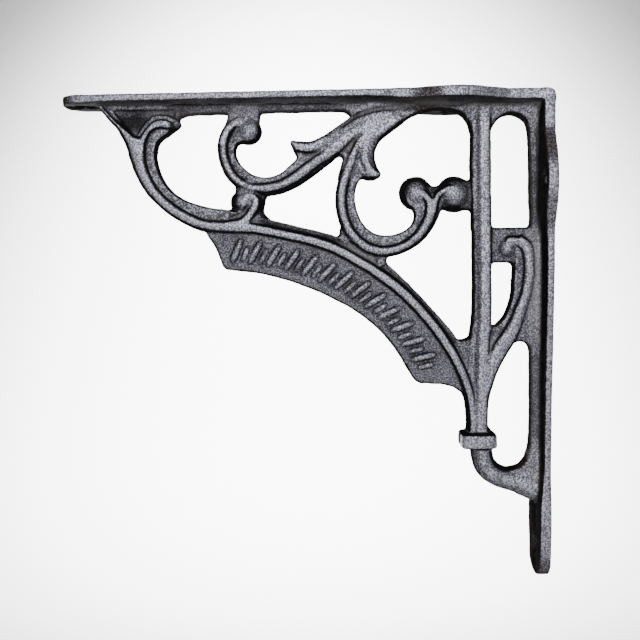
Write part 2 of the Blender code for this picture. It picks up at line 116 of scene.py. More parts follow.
def ribbed(s, width, rib, flank, top, edge):
    """Half thickness across a scroll: a slightly crowned rib that falls off along its outer flank at a little
    over one in one and has a rounded shoulder inside, and beside it a hollow that rises as the square of the
    way to the far edge. The greater holds."""
    crown = CROWN * (2 * (s - flank) / np.maximum(rib - flank, 0.1) - 1) ** 2
    crest = (top - np.clip(crown, 0, CROWN) - FLANK_FALL * np.clip(flank - s, 0, None)
             - shoulder(s - rib + 0.8, 1.4, 1.0))
    way = np.clip((s - rib) / np.maximum(width - rib, 0.1), 0, 1)
    return np.maximum(crest, HOLLOW + (edge - HOLLOW) * way ** 2)


def ledged(s, width, rib, flank, top, edge):
    """Half thickness across the arch: a flat rib with the same outer flank, and beside it a low ledge that
    lifts as the fifth power of the way to a thin lip at the far edge."""
    crest = top - FLANK_FALL * np.clip(flank - s, 0, None) - shoulder(s - rib + 1.1, 1.3, 1.8)
    way = np.clip((s - rib) / np.maximum(width - rib, 0.1), 0, 1)
    return np.maximum(crest, edge + 1.1 * way ** 5)


def leafy(s, width, rib, flank, top, edge):
    """Half thickness across a leaf: one ridge that falls to its edges as the distance q from its crest to
    the power 1.7."""
    q = np.where(s < rib, (rib - s) / rib, (s - rib) / np.maximum(width - rib, 0.1))
    return edge + (top - edge) * np.clip(1 - q ** 1.7, 0, 1)


def arched(s, width, rib, flank, top, edge):
    """Half thickness across the sweep: the row's fifth number, less 1.1 times the fourth power of the way out
    from its middle, less 1.7 times the way to its upper edge to the power 1.3."""
    return rib - 1.1 * (2 * s / width - 1) ** 4 - 1.7 * (s / width) ** 1.3


def sloped(s, width, rib, flank, top, edge):
    """Half thickness across the upright: a slightly crowned rib, rounded outside, that slopes off inside at
    one in two, and beside it a flat ledge as high as the edge."""
    crest = (top - 0.2 * (2 * s / rib - 1) ** 2 - shoulder(flank - s, flank)
             - 0.5 * np.clip(s - rib + 0.6, 0, None))
    return np.maximum(crest, edge)


def carried(stations, across=ribbed, top=RIB, edge=EDGE):
    """Height map of a limb. A profile is carried along rows that give the rib's edge, the far edge, the
    rib's width and, where it isn't 0.8, the width of its outer flank. Each place of the map takes the mean
    of the profile points that land in it."""
    rows = along([row if len(row) == 6 else row + (0.8,) for row in stations], 0.09)
    near, far = rows[:, 0:2], rows[:, 2:4]
    width = np.hypot(*(far - near).T)[:, None]
    share = np.linspace(0, 1, 240)
    high = across(share * width, width, np.minimum(rows[:, 4:5], 0.8 * width), rows[:, 5:6], top, edge)
    spot = near[:, None] + (far - near)[:, None] * share[:, None]
    i = np.rint((spot[..., 0] - out_line[0]) / STEP).astype(int)
    j = np.rint((spot[..., 1] - down_line[0]) / STEP).astype(int)
    cell = (i * OUT.shape[1] + j).ravel()
    hits = np.bincount(cell, minlength=OUT.size)
    total = np.bincount(cell, weights=high.ravel(), minlength=OUT.size)
    return (total / np.maximum(hits, 1)).reshape(OUT.shape)


outer_scroll = carried([
    (186.0, 2.2, 156.0, 2.2, 2.0, 0.5), (181.6, 6.9, 154.8, 7.6, 2.2, 0.7),
    (178.8, 10.2, 150.6, 11.0, 2.6, 0.9), (176.5, 12.8, 153.9, 14.1, 3.4, 1.2),
    (173.0, 19.0, 159.6, 18.3, 7.4, 1.4), (171.0, 26.1, 160.8, 24.6, 5.9, 1.5),
    (168.1, 33.4, 159.4, 31.0, 5.0, 1.3), (164.0, 39.9, 156.2, 36.7, 4.6, 1.1),
    (158.5, 45.4, 151.5, 41.0, 4.4, 0.9), (152.0, 50.2, 145.0, 43.9, 4.4, 0.9),
    (143.4, 54.4, 138.0, 45.7, 4.4, 1.0), (133.2, 55.7, 130.8, 46.6, 4.3), (122.0, 56.2, 122.0, 48.8, 4.3)])
arch = carried([
    (124.0, 56.1, 124.0, 48.6, 4.2), (122.0, 56.0, 122.0, 48.8, 4.2),
    (113.8, 57.3, 115.3, 50.2, 4.1), (99.0, 60.6, 100.3, 54.0, 4.1), (88.0, 64.4, 86.6, 57.6, 4.1),
    (78.4, 69.6, 75.0, 63.0, 4.0), (71.4, 74.0, 66.6, 68.4, 4.0), (60.7, 82.2, 56.7, 77.6, 4.0),
    (50.0, 93.7, 45.6, 89.6, 4.0), (42.8, 103.8, 37.4, 99.6, 4.0), (38.4, 111.4, 32.0, 109.0, 3.8),
    (34.4, 121.4, 28.8, 119.6, 3.6), (32.8, 131.0, 27.6, 131.0, 3.6), (32.8, 140.0, 27.6, 140.0, 3.6)],
    ledged, RIB, 2.3)
second_scroll = carried([
    (132.8, 13.4, 118.2, 14.0, 3.2, 1.2), (134.2, 16.6, 122.0, 17.6, 3.7, 1.3),
    (134.9, 20.0, 126.8, 19.2, 3.8, 1.3), (134.8, 24.0, 128.0, 22.8, 3.8, 1.3),
    (133.4, 29.4, 126.4, 27.1, 3.9, 1.3), (130.4, 34.2, 122.6, 31.0, 4.0, 1.3),
    (124.6, 38.6, 118.6, 32.8, 4.1, 1.3), (117.2, 40.2, 115.2, 33.3, 4.2, 1.3),
    (109.4, 39.4, 109.8, 32.0, 4.6, 1.5), (101.8, 36.2, 105.2, 28.3, 5.0, 1.7),
    (93.8, 30.7, 98.5, 22.5, 5.3, 1.9), (85.7, 24.5, 91.2, 16.4, 5.4, 1.9),
    (78.4, 18.6, 83.0, 10.6, 5.0, 1.6), (70.0, 13.6, 74.6, 5.0, 4.6, 0.8)], top=4.8)
stem_leaf = carried([
    (104.9, 19.6, 105.1, 18.4, 0.7), (102.4, 24.4, 101.2, 18.7, 3.0), (98.4, 25.6, 96.6, 18.7, 4.4),
    (93.8, 23.6, 90.6, 16.1, 4.4), (90.0, 21.8, 87.4, 14.4, 4.0)], leafy, 4.6, 3.4)
big_scroll = carried([
    (78.6, 17.0, 68.0, 17.0, 2.9, 0.6), (80.6, 21.5, 70.8, 22.4, 3.3, 0.7),
    (82.8, 27.6, 74.4, 29.6, 3.7, 0.7), (85.4, 34.0, 78.2, 36.6, 3.9, 0.7),
    (86.6, 41.0, 79.0, 42.2, 3.9, 0.7), (86.0, 48.8, 77.8, 48.3, 3.9, 0.8),
    (82.6, 57.0, 74.8, 53.7, 3.9, 0.9), (76.0, 63.4, 70.2, 56.7, 3.9, 0.8),
    (67.8, 65.8, 64.2, 57.4, 4.0, 0.8), (59.4, 64.3, 58.9, 55.7, 4.2, 1.0),
    (52.0, 60.0, 55.4, 52.8, 4.5, 1.3), (46.8, 53.6, 54.3, 49.6, 4.8, 1.8),
    (43.9, 47.4, 54.9, 46.8, 5.3, 2.3), (43.0, 43.0, 57.6, 44.2, 4.4, 2.3),
    (43.4, 39.6, 58.4, 41.6, 2.4, 1.2)], edge=3.8)
scroll_leaf = carried([
    (79.0, 4.0, 53.0, 4.0, 12.0), (78.4, 10.0, 58.0, 9.9, 9.0), (78.2, 15.0, 64.6, 14.9, 5.6),
    (78.6, 20.0, 69.8, 19.8, 4.6), (79.0, 25.2, 70.9, 25.0, 4.3), (78.2, 31.0, 70.2, 28.6, 4.3),
    (74.6, 33.9, 69.0, 31.0, 3.0), (71.0, 34.2, 68.1, 32.4, 1.6)], leafy, 4.9, 3.5)
sweep = carried([
    (97.0, 31.4, 100.0, 22.0, 3.9), (93.6, 29.2, 97.2, 19.6, 4.5), (89.6, 26.6, 93.4, 17.4, 4.9),
    (84.9, 23.2, 88.6, 14.0, 5.1), (82.0, 20.8, 84.8, 11.6, 5.1), (78.4, 17.6, 81.4, 9.6, 5.1),
    (74.3, 16.0, 77.5, 8.2, 5.1), (69.4, 17.8, 73.9, 7.3, 5.1), (64.8, 14.9, 69.8, 6.6, 5.1),
    (60.7, 11.7, 65.4, 6.2, 5.0), (56.3, 8.9, 59.7, 6.0, 4.8), (50.4, 6.9, 52.4, 5.6, 4.5)], arched)


def inside_of(outline):
    """Where a line out to the side crosses a closed outline an odd number of times."""
    odd = np.zeros(OUT.shape, bool)
    for (o0, d0), (o1, d1) in zip(outline, outline[1:] + outline[:1]):
        if d0 != d1:
            odd ^= ((DOWN < d0) != (DOWN < d1)) & (OUT < o0 + (DOWN - d0) * (o1 - o0) / (d1 - d0))
    return odd


def filled(outline, half):
    """Height map of a flat piece of one half thickness."""
    return np.where(inside_of(outline), half, 0.0)


def domed(out, down, radius, half):
    """Height map of a ball: one less the square of the way out, to the power three quarters."""
    way = ((OUT - out) ** 2 + (DOWN - down) ** 2) / radius ** 2
    return half * np.clip(1 - way, 0, None) ** 0.75


def off_line(points, reach):
    """How far each place lies from a curve through the points, as far as the reach, and the last number of
    the row at the nearest point."""
    line = along(points, 0.3)
    apart, carried_on = np.full(OUT.shape, 99.0), np.zeros(OUT.shape)
    low, high = line.min(0) - reach, line.max(0) + reach
    room = (slice(*np.searchsorted(out_line, (low[0], high[0]))),
            slice(*np.searchsorted(down_line, (low[1], high[1]))))
    square = (OUT[room][..., None] - line[:, 0]) ** 2 + (DOWN[room][..., None] - line[:, 1]) ** 2
    apart[room] = np.sqrt(square.min(-1))
    carried_on[room] = line[:, -1][square.argmin(-1)]
    return apart, carried_on


def ridged(points, width, steep=3.0):
    """Height map of a rib alone: flat along its line, with rounded shoulders, as high as the third number."""
    apart, top = off_line(points, 1.6 * width)
    return np.clip(top - shoulder(apart - width / 2 + 0.8, 0.8, steep), 0, None) * (top > 0)


def grooved(points, width):
    """Depth map of a groove: the bell (1 - q squared) squared of the distance q from its line, as deep as
    the third number."""
    apart, deep = off_line(points, width)
    return deep * np.clip(1 - (2 * apart / width) ** 2, 0, 1) ** 2


def reached(mask, places):
    """How many places away the nearest marked one is: the run along each row first, and then the least
    of run squared plus rise squared over the rows near it."""
    run = np.where(mask, 0.0, places + 1.0)
    for k in range(places):
        run[1:] = np.minimum(run[1:], run[:-1] + 1)
        run[:-1] = np.minimum(run[:-1], run[1:] + 1)
    square = run ** 2
    best = square.copy()
    for k in range(1, places + 1):
        best[:, k:] = np.minimum(best[:, k:], square[:, :-k] + k * k)
        best[:, :-k] = np.minimum(best[:, :-k], square[:, k:] + k * k)
    return np.minimum(np.sqrt(best), places + 1.0)


def cushioned(outline, top, radius=0.9):
    """Height map of a raised patch: flat, with a rounded shoulder along its outline."""
    patch = inside_of(outline)
    return np.where(patch, top - shoulder(radius - reached(~patch, 5) * STEP, radius), 0.0)


def hollowed(outline, deep):
    """Depth map of a hollow: full depth inside an outline, easing out over a millimetre along it."""
    way = np.clip((reached(~inside_of(outline), 5) - 1) / 4.5, 0, 1)
    return deep * way * way * (3 - 2 * way)


neck = np.where(inside_of([(115.6, 34.0), (127.6, 34.0), (128.1, 41.0), (128.9, 46.6), (131.4, 51.5),
                           (112.8, 51.5), (116.6, 47.4), (115.6, 42.0)]),
                2.2 + 1.7 * np.clip(1 - ((OUT - 122.6) / 6.0) ** 2, 0, 1), 0)
curl_root = filled([(58.0, 45.4), (45.0, 48.0), (42.6, 46.0), (36.0, 46.4), (29.4, 47.6), (29.4, 34.4),
                    (36.0, 35.4), (41.8, 36.0), (46.6, 37.2), (52.0, 36.4), (58.6, 40.0)], 2.4)
scroll_root = filled([(129.4, 3.0), (131.0, 9.4), (133.0, 14.0), (118.2, 14.0), (117.8, 9.0),
                      (118.0, 3.0)], 3.1)
leaf_root = filled([(76.0, 8.0), (80.4, 15.0), (82.6, 21.0), (84.2, 27.6), (86.0, 34.0), (80.0, 34.0),
                    (74.0, 20.0), (70.0, 8.0)], 3.8)
notches = np.maximum(filled([(70.0, 62.0), (66.0, 65.2), (66.0, 68.6), (70.0, 71.0)], 3.2),
                     filled([(82.0, 52.0), (85.2, 54.4), (85.2, 59.6), (82.0, 61.6)], 3.2))
cut_ball = np.where((OUT - 122.4) ** 2 + (DOWN - 14.0) ** 2 < 5.3 ** 2, domed(122.1, 14.2, 7.0, 5.0), 0.0)
curl_ball, bar_ball, neck_ball = (domed(53.9, 40.0, 6.9, 5.1), domed(38.2, 40.5, 7.4, 5.1),
                                  domed(124.6, 43.2, 5.6, 4.9))
limbs = [outer_scroll, arch, second_scroll, stem_leaf, big_scroll, scroll_leaf, neck, curl_root, scroll_root,
         leaf_root, curl_ball, bar_ball, neck_ball, cut_ball, notches]
raised_lines = [
    sweep,
    cushioned([(169.4, 19.6), (167.4, 17.6), (165.2, 14.6), (163.1, 11.9), (160.9, 10.1), (158.2, 9.4),
               (155.3, 9.7), (153.3, 10.9), (152.6, 12.3), (153.4, 13.7), (155.8, 13.2), (158.2, 12.9),
               (160.2, 13.3), (162.5, 14.8), (164.3, 18.4), (165.0, 22.5), (167.6, 24.0)], 4.8),
    ridged([(131.6, 52.9, 4.8), (127.2, 52.2, 4.8), (124.2, 51.2, 4.8), (121.9, 48.6, 4.8),
            (120.1, 45.8, 4.8), (119.4, 43.4, 4.7), (120.4, 41.5, 4.6), (122.9, 40.9, 4.5)], 3.4, 1.4),
    ridged([(48.8, 49.0, 4.8), (48.3, 45.6, 4.9), (48.8, 43.4, 4.9), (49.6, 42.0, 4.9), (51.2, 40.4, 4.9),
            (53.7, 39.4, 4.9)], 3.0, 1.6),
    ridged([(47.0, 47.6, 4.9), (46.6, 45.1, 4.9), (45.6, 42.1, 4.8), (43.8, 39.9, 4.7), (41.4, 38.5, 4.7),
            (39.0, 38.2, 4.8), (37.0, 39.2, 4.9)], 2.4, 2.0),
    ridged([(133.1, 19.0, 4.8), (131.6, 15.4, 4.8), (129.4, 12.4, 4.5), (126.4, 10.4, 4.0),
            (123.2, 9.8, 3.5)], 3.4, 0.8),
    ridged([(104.4, 18.9, 4.2), (102.4, 20.6, 4.7), (99.6, 21.3, 4.8), (96.2, 20.9, 4.8),
            (91.0, 18.4, 4.6)], 4.0, 0.7),
    ridged([(67.8, 11.0, 4.5), (71.0, 14.6, 4.7), (73.6, 19.0, 4.9), (74.6, 23.0, 5.0), (74.4, 26.4, 5.0),
            (73.2, 29.6, 5.0), (71.4, 31.6, 4.9), (69.4, 32.8, 4.7)], 3.0, 0.55),
    ridged([(71.0, 12.6, 4.4), (75.4, 17.2, 4.7), (78.0, 21.2, 4.8), (80.0, 25.3, 4.8)], 3.2, 0.9)]
sunk_lines = [
    grooved([(102.6, 23.2, 0.4), (99.6, 23.9, 0.8), (95.5, 24.0, 0.7), (91.5, 22.8, 0.2)], 1.7),
    grooved([(77.4, 22.6, 0.1), (77.4, 24.6, 0.4), (76.6, 27.6, 0.7), (75.0, 31.2, 0.8)], 1.5),
    grooved([(84.0, 12.4, 0.6), (80.4, 9.8, 1.1), (76.8, 8.1, 1.3), (72.0, 6.7, 1.3), (67.0, 6.0, 1.1),
             (60.0, 5.5, 0.7), (54.0, 5.4, 0.2)], 2.4),
    grooved([(130.0, 49.6, 0.6), (126.6, 48.8, 1.1), (124.2, 47.2, 1.1), (122.9, 45.0, 0.4)], 2.1),
    grooved([(129.6, 20.0, 0.3), (128.6, 16.4, 0.5), (127.6, 14.0, 0.5)], 2.0),
    grooved([(150.6, 9.6, 0.3), (151.6, 11.0, 1.0), (152.6, 12.6, 1.2), (153.8, 14.6, 0.6)], 5.0),
    hollowed([(179.0, 5.0), (175.6, 9.4), (172.6, 13.2), (168.9, 17.6), (166.6, 14.0), (164.0, 10.6),
              (161.4, 8.6), (158.2, 7.9), (154.6, 8.4), (151.6, 10.6), (149.0, 12.6), (149.0, 8.8),
              (152.0, 8.2), (152.0, 5.0)], 1.35),
    hollowed([(73.6, 14.8), (76.7, 15.2), (79.5, 17.5), (82.2, 20.2), (83.9, 22.0), (82.0, 24.2),
              (80.8, 25.0), (78.5, 20.6), (76.7, 17.9)], 0.7)]

# Arched band
# A flat arched band hangs under the outer scroll and the arch, cast in one piece with them.
# A row of slanted raised strokes, each with a short one beside it, stands on both of its faces.
BAND = 3.1
STROKES, LEAN = 13, 18.0
LONG_STROKE, SHORT_STROKE = (-1.7, 11.4, 3.3, 1.15), (2.1, 7.6, 2.7, 1.0)
band_low = along([(128.6, 71.2), (117.7, 72.7), (106.8, 75.4), (95.8, 79.4), (84.9, 84.6), (77.6, 89.0),
                  (70.3, 94.9), (63.4, 102.6), (58.7, 110.0), (55.6, 115.4)], 2.0)
band_high = along([(37.0, 112.0), (41.6, 103.0), (49.0, 92.8), (59.8, 81.4), (70.6, 73.2), (77.8, 68.8),
                   (88.6, 63.2), (99.4, 59.6), (114.0, 56.4), (130.0, 54.0), (141.6, 52.6)], 2.0)
band = filled([(139.6, 57.0), (137.4, 60.0), (135.2, 64.4), (133.4, 69.4), (132.2, 70.8)]
              + [tuple(p) for p in band_low]
              + [(54.2, 117.2), (52.2, 118.2), (47.0, 118.4), (42.8, 118.6), (38.4, 119.8), (35.2, 122.2),
                 (33.2, 126.0), (31.0, 126.0)]
              + [tuple(p) for p in band_high], BAND)
limbs.append(band)

rail = along([(129.6, 63.4), (117.0, 64.8), (104.6, 67.6), (93.0, 71.6), (82.0, 77.0), (72.0, 83.6),
              (62.6, 92.2), (54.6, 102.4), (48.6, 112.0)], 0.1)
marks = rail[np.rint((np.arange(STROKES) + 0.5) / STROKES * (len(rail) - 1)).astype(int)]
ahead_of = rail[np.rint((np.arange(STROKES) + 0.9) / STROKES * (len(rail) - 1)).astype(int)] - marks
turns = np.arctan2(ahead_of[:, 1], -ahead_of[:, 0]) + radians(90 + LEAN)
strokes = np.zeros(OUT.shape)
for (out, down), turn in zip(marks, turns):
    for shift, long, wide, rise_by in (LONG_STROKE, SHORT_STROKE):
        u = -(OUT - out) * cos(turn) + (DOWN - down) * sin(turn)
        v = -(OUT - out) * sin(turn) - (DOWN - down) * cos(turn) - shift
        lens_shape = 1 - (2 * u / long) ** 4 - (2 * v / wide) ** 2
        strokes = np.maximum(strokes, rise_by * np.clip(lens_shape, 0, None) ** 0.6)

# Upright, bridge and column
# A ribbed bar stands between shelf and band; a bridge with a ball ties it to the wall strip, and a curved
# stem falls from the bridge into the column where bar, band and stem meet.
upright = carried([
    (23.7, 3.0, 34.0, 3.0, 5.2, 0.5), (23.8, 9.0, 32.6, 8.6, 5.0, 0.5), (23.8, 15.0, 31.2, 14.0, 4.8, 0.5),
    (23.6, 30.0, 31.4, 30.0, 4.8, 0.5), (23.4, 60.0, 30.6, 60.0, 4.8, 0.5),
    (23.3, 88.0, 30.4, 88.0, 4.8, 0.5), (23.8, 98.0, 31.6, 98.6, 4.8, 0.5),
    (24.6, 112.0, 32.6, 112.0, 4.6, 0.5), (24.8, 126.0, 32.4, 126.0, 4.4, 0.5),
    (24.8, 140.0, 32.4, 140.0, 4.4, 0.5)], sloped, 4.8, 3.5)
stem = carried([
    (11.4, 57.4, 13.8, 61.0, 3.0, 0.4), (7.4, 61.2, 13.0, 63.8, 4.0, 0.0), (5.9, 67.0, 13.5, 68.0, 4.2, 0.6),
    (5.9, 74.4, 14.0, 74.2, 4.2, 0.6), (7.0, 81.6, 14.4, 80.9, 4.2, 0.6), (9.0, 87.6, 15.8, 86.8, 4.6, 0.6),
    (10.8, 94.0, 18.4, 91.8, 5.2, 0.8), (13.4, 100.4, 22.6, 95.9, 6.2, 0.9),
    (16.4, 105.4, 26.0, 101.0, 6.6, 0.9), (20.4, 113.0, 28.0, 110.0, 5.0, 0.8),
    (23.2, 121.0, 29.4, 119.6, 3.6), (24.7, 129.0, 30.0, 129.0, 3.4),
    (24.8, 140.0, 30.0, 140.0, 3.4)], top=4.8, edge=3.7)
bridge = filled([(25.0, 54.3), (6.0, 54.3), (4.0, 75.0), (12.6, 75.0), (13.2, 69.8), (15.6, 68.6),
                 (25.0, 68.4)], 3.0)
fork = np.where(inside_of([
    (4.0, 60.0), (8.4, 60.0), (8.6, 74.0), (9.6, 82.0), (12.0, 90.0), (14.6, 97.0), (15.0, 102.8),
    (13.2, 101.2), (11.0, 100.8), (8.8, 101.6), (7.4, 103.6), (7.0, 107.0), (4.0, 107.0)]),
    3.6 - 0.6 * np.clip((DOWN - 90) / 14, 0, 1), 0.0)
column = filled([(38.0, 108.0), (38.2, 101.6), (36.0, 100.5), (33.6, 100.1), (31.8, 99.2), (30.2, 95.0),
                 (26.0, 93.0), (24.9, 118.0), (24.9, 140.0), (32.7, 140.0), (32.7, 128.0)], 3.0)
bridge_ball = domed(17.0, 62.8, 5.4, 4.9)
limbs += [upright, stem, bridge, fork, column, bridge_ball]
raised_lines.append(ridged([(16.1, 59.8, 4.6), (12.8, 60.0, 4.5), (9.8, 62.6, 4.6), (8.2, 67.2, 4.7),
                            (7.6, 73.7, 4.8)], 3.4, 0.9))

# Strips along the plates
# The web meets each plate in a flat strip, cast with it. The one under the shelf thins towards the arm's
# tip and thickens again over the outer scroll; the one on the wall is thickest at its ends and its middle.
STRIP = 4.1
top_strip = np.where(inside_of([
    (184.0, 0.0), (0.0, 0.0), (1.5, 16.0), (7.6, 16.0), (8.2, 13.0), (9.6, 10.6), (11.8, 8.8), (14.9, 7.9),
    (18.2, 8.5), (20.9, 10.3), (22.7, 12.8), (24.2, 16.0), (31.0, 17.5), (32.3, 12.0), (34.6, 8.4),
    (37.6, 6.7), (41.7, 5.7), (46.0, 5.7), (51.5, 6.8), (56.5, 8.9), (60.0, 11.6), (79.6, 11.6), (80.6, 7.8),
    (83.2, 6.2), (94.0, 6.2), (116.5, 6.6), (133.0, 6.8), (147.0, 7.3), (150.6, 8.6), (180.0, 8.5)]),
    STRIP - 0.9 * np.clip((DOWN - 7) / 5, 0, 1) * (OUT < 36)
    - 1.5 * np.clip((OUT - 76) / 14, 0, 1) - 0.5 * np.clip((OUT - 140) / 10, 0, 1)
    + 1.5 * np.clip((OUT - 150) / 7, 0, 1), 0.0)
wall_strip = np.where(inside_of([
    (0.0, 0.0), (9.0, 10.5), (8.1, 16.0), (7.6, 26.0), (7.2, 45.0), (7.0, 100.0), (7.1, 138.0), (7.5, 145.4),
    (8.8, 149.8), (11.4, 152.6), (15.6, 153.9), (17.0, 157.0), (8.0, 164.0), (0.0, 166.5)]),
    2.5 + 0.7 * np.exp(-(DOWN / 22.0) ** 4)
    + 1.0 * np.exp(-((DOWN - 76.0) / 20.0) ** 4) + 1.2 * np.exp(-((DOWN - 153.0) / 10.0) ** 4), 0.0)
limbs += [top_strip, wall_strip]

# The web's surface
# The patternmaker ran all limbs together with small fillets, and sand and paint rounded every crease.
# Gaps between limbs that are under about two millimetres wide are filled up with iron.

# GAP is half the width of such a gap, in places of the map, and LEAST is the half thickness that the
# deepest groove leaves.
GAP, LEAST = 5.0, 1.5


def softened(sheet, spread):
    """The map with each place replaced by the bell-weighted mean of its neighbours, rows then columns."""
    taps = np.arange(-int(3 * spread) - 1, int(3 * spread) + 2)
    bell = np.exp(-0.5 * (taps / spread) ** 2)
    bell /= bell.sum()
    for axis in range(sheet.ndim):
        edge = [(0, 0)] * sheet.ndim
        edge[axis] = (len(taps) // 2, len(taps) // 2)
        wide = np.pad(sheet, edge, mode="edge")
        n = sheet.shape[axis]
        total = np.zeros_like(sheet)
        for k, w in enumerate(bell):
            total += w * np.take(wide, np.arange(k, k + n), axis=axis)
        sheet = total
    return sheet


relief = limbs[0]
for limb in limbs[1:]:
    relief = np.maximum(relief, limb)
solid = softened((relief > 0).astype(float), 1.6) > 0.5
solid = reached(~(reached(solid, 6) <= GAP), 6) > GAP
inward = softened(reached(~solid, 14) - reached(solid, 14), 1.3) * STEP
for line in raised_lines:
    relief = np.where(relief > 0, np.maximum(relief, line), relief)
known = (relief > 0).astype(float)
for line in sunk_lines:
    relief = np.maximum(relief - line, LEAST * known)
spread_out = softened(relief, 4.0) / np.maximum(softened(known, 4.0), 0.001)
share = softened(known, 1.2)
relief = np.where(share > 0.1, softened(relief, 1.2) / np.maximum(share, 0.02), spread_out)
raised = softened(strokes, 0.8)
relief = np.where(raised > 0.02, np.maximum(relief, BAND) + raised, relief)

# Plates
# The arm and the wall plate are flat cast bars, wide at the corner and narrower towards their rounded ends.
# Each swells into a lobe round its pair of screws, and the sand rounded the edges.
REACH, DROP = 199.0, 197.8
SHELF_LOBE, WALL_LOBE, LOBE_REACH, END_ROUND = 38.0, 36.0, 20.0, 8.0


def eased(x, start, end):
    """A smooth step: three times the square less twice the cube of the way from start to end."""
    t = np.clip((x - start) / (end - start), 0, 1)
    return t * t * (3 - 2 * t)


def lobed(x, centre, rise_by):
    """The lobe round a pair of screws: a cosine hump to the power 1.2."""
    t = np.clip(np.abs(x - centre) / LOBE_REACH, 0, 1)
    return rise_by * np.clip(np.cos(pi / 2 * t), 0, None) ** 1.2


def tapered_end(x, end):
    """How much of the width is left near a rounded end: a quarter circle, and a quarter at the least."""
    way = np.clip(x - (end - END_ROUND), 0, None) / END_ROUND
    return np.maximum(np.sqrt(np.clip(1 - way ** 2, 0, None)), 0.25)


def shelf_half(x):
    """Half the arm's width: it widens smoothly to 50 mm out and narrows evenly from 60 mm on, with a lobe."""
    base = 13.9 + 2.5 * eased(x, 10, 50) - 6.8 * np.clip(x - 60.0, 0, None) / 130.0
    return (base + lobed(x, SHELF_LOBE, 5.0)) * tapered_end(x, REACH)


def wall_half(x):
    """Half the wall plate's width: it narrows smoothly from 60 to 150 mm down and has a lobe, and half a
    sine wave swells the tail."""
    base = 13.6 - 4.3 * eased(x, 60, 150) + 1.4 * np.sin(pi * eased(x, 152, 196))
    return (base + lobed(x, WALL_LOBE, 5.8)) * tapered_end(x, DROP)


shelf_thick = 4.5 - 1.3 * eased(OUT, 50, 75) + 0.5 * eased(OUT, 175, 190)
wall_thick = 4.6 - 1.4 * eased(DOWN, 46, 62) + 1.7 * eased(DOWN, 150, 172)

# Collar and pipe
# Below the band the column ends in a square collar with rounded corners, and a round pipe, a little thicker
# where it nears the wall, bends from it back to the strip. Both are cast with the rest.
COLLAR_OUT, COLLAR_TOP, COLLAR_FOOT = 28.4, 138.5, 144.8
PIPE = 4.6
pipe_line = along([(26.9, 140.0), (26.8, 147.0), (25.6, 151.7), (22.5, 155.4), (18.2, 157.5), (13.0, 159.0),
                   (7.6, 161.0), (2.4, 162.6)], 0.5)
from_pipe = np.full(OUT.shape, 99.0)
round_it = (OUT > -2) & (OUT < 36) & (DOWN > 132) & (DOWN < 172)
from_pipe[round_it] = np.sqrt(((OUT[round_it][:, None] - pipe_line[:, 0]) ** 2
                               + (DOWN[round_it][:, None] - pipe_line[:, 1]) ** 2).min(-1))
pipe_radius = PIPE * (1 + 0.09 * eased(-OUT, -13.3, -12.0) + 0.07 * eased(-OUT, -12.0, -6.0))

# The casting
# Web, plates, collar and pipe are one pour of grey iron, so they are one solid field, more than nought
# inside, run together with fillets, with the countersunk holes taken out. Its skin is where it is nought.
PITCH_MM = 2 * STEP

# A hole's radius and its countersink's depth, and then for each hole, or pair of holes, the distance along
# the plate, the distance aside and the plate's thickness.
BORE, SINK = 2.4, 1.9
SHELF_HOLES = ((SHELF_LOBE, 12.6, 4.5), (191.0, 0.0, 3.9))
WALL_HOLES = ((WALL_LOBE, 12.6, 4.9), (185.0, 0.0, 4.9))
across_line = np.arange(-21.825, 22.0, PITCH_MM)
O, D = OUT[::2, ::2].astype(np.float32), DOWN[::2, ::2].astype(np.float32)


def joined(a, b, fillet):
    """The greater of two fields, lifted by a quarter of the fillet's square overlap where they are close."""
    near = np.clip(fillet - np.abs(a - b), 0, None)
    return np.maximum(a, b) + near * near / (4 * fillet)


def trimmed(a, b, round_by):
    """The lesser of two fields, lowered in the same way, which rounds the edge between them."""
    near = np.clip(round_by - np.abs(a - b), 0, None)
    return np.minimum(a, b) - near * near / (4 * round_by)


cove = (0.6 * np.exp(-np.clip(DOWN - shelf_thick, 0, None) / 0.6)
        + 0.4 * np.exp(-np.clip(OUT - wall_thick, 0, None) / 0.6))
flared = (relief + cove)[::2, ::2]

slices = []
for across in across_line:
    y = abs(across)
    web = trimmed(flared - y, inward[::2, ::2] + 0.25, 2.0)
    shelf = trimmed(trimmed(D, shelf_thick[::2, ::2] - D, 1.0), shelf_half(O) - y, 1.1)
    shelf = trimmed(shelf, trimmed(REACH - O, O, 0.5), 0.8)
    thick_here = wall_thick[::2, ::2] - 0.9 * eased(across, 6, 12) * (D < 62)
    wall = trimmed(trimmed(O, thick_here - O, 1.0), wall_half(D) - y, 1.1)
    wall = trimmed(wall, trimmed(DROP - D, D, 0.5), 0.8)
    plan = trimmed(7.5 - np.abs(O - COLLAR_OUT), 7.0 - y, 3.2)
    collar = trimmed(trimmed(D - COLLAR_TOP, COLLAR_FOOT - D, 1.2), plan, 1.6)
    pipe = pipe_radius[::2, ::2] - np.sqrt(from_pipe[::2, ::2] ** 2 + y * y)
    plates = joined(shelf, wall, 1.6)
    body = joined(web, plates, 1.3)
    body = joined(body, collar, 1.4)
    body = joined(body, pipe, 1.6)
    body = np.minimum(body, trimmed(O, D, 3.5))
    for holes, way, depth in ((SHELF_HOLES, O, D), (WALL_HOLES, D, O)):
        for spot, aside, thick in holes:
            from_axis = np.sqrt((way - spot) ** 2 + (y - aside) ** 2)
            bore = BORE + np.clip(depth - (thick - SINK), 0, None)
            near_plate = depth < thick + 1.5
            body = np.where(near_plate, trimmed(body, from_axis - bore, 0.4), body)
    slices.append(body.astype(np.float32))
field = np.stack(slices, 1)
del slices


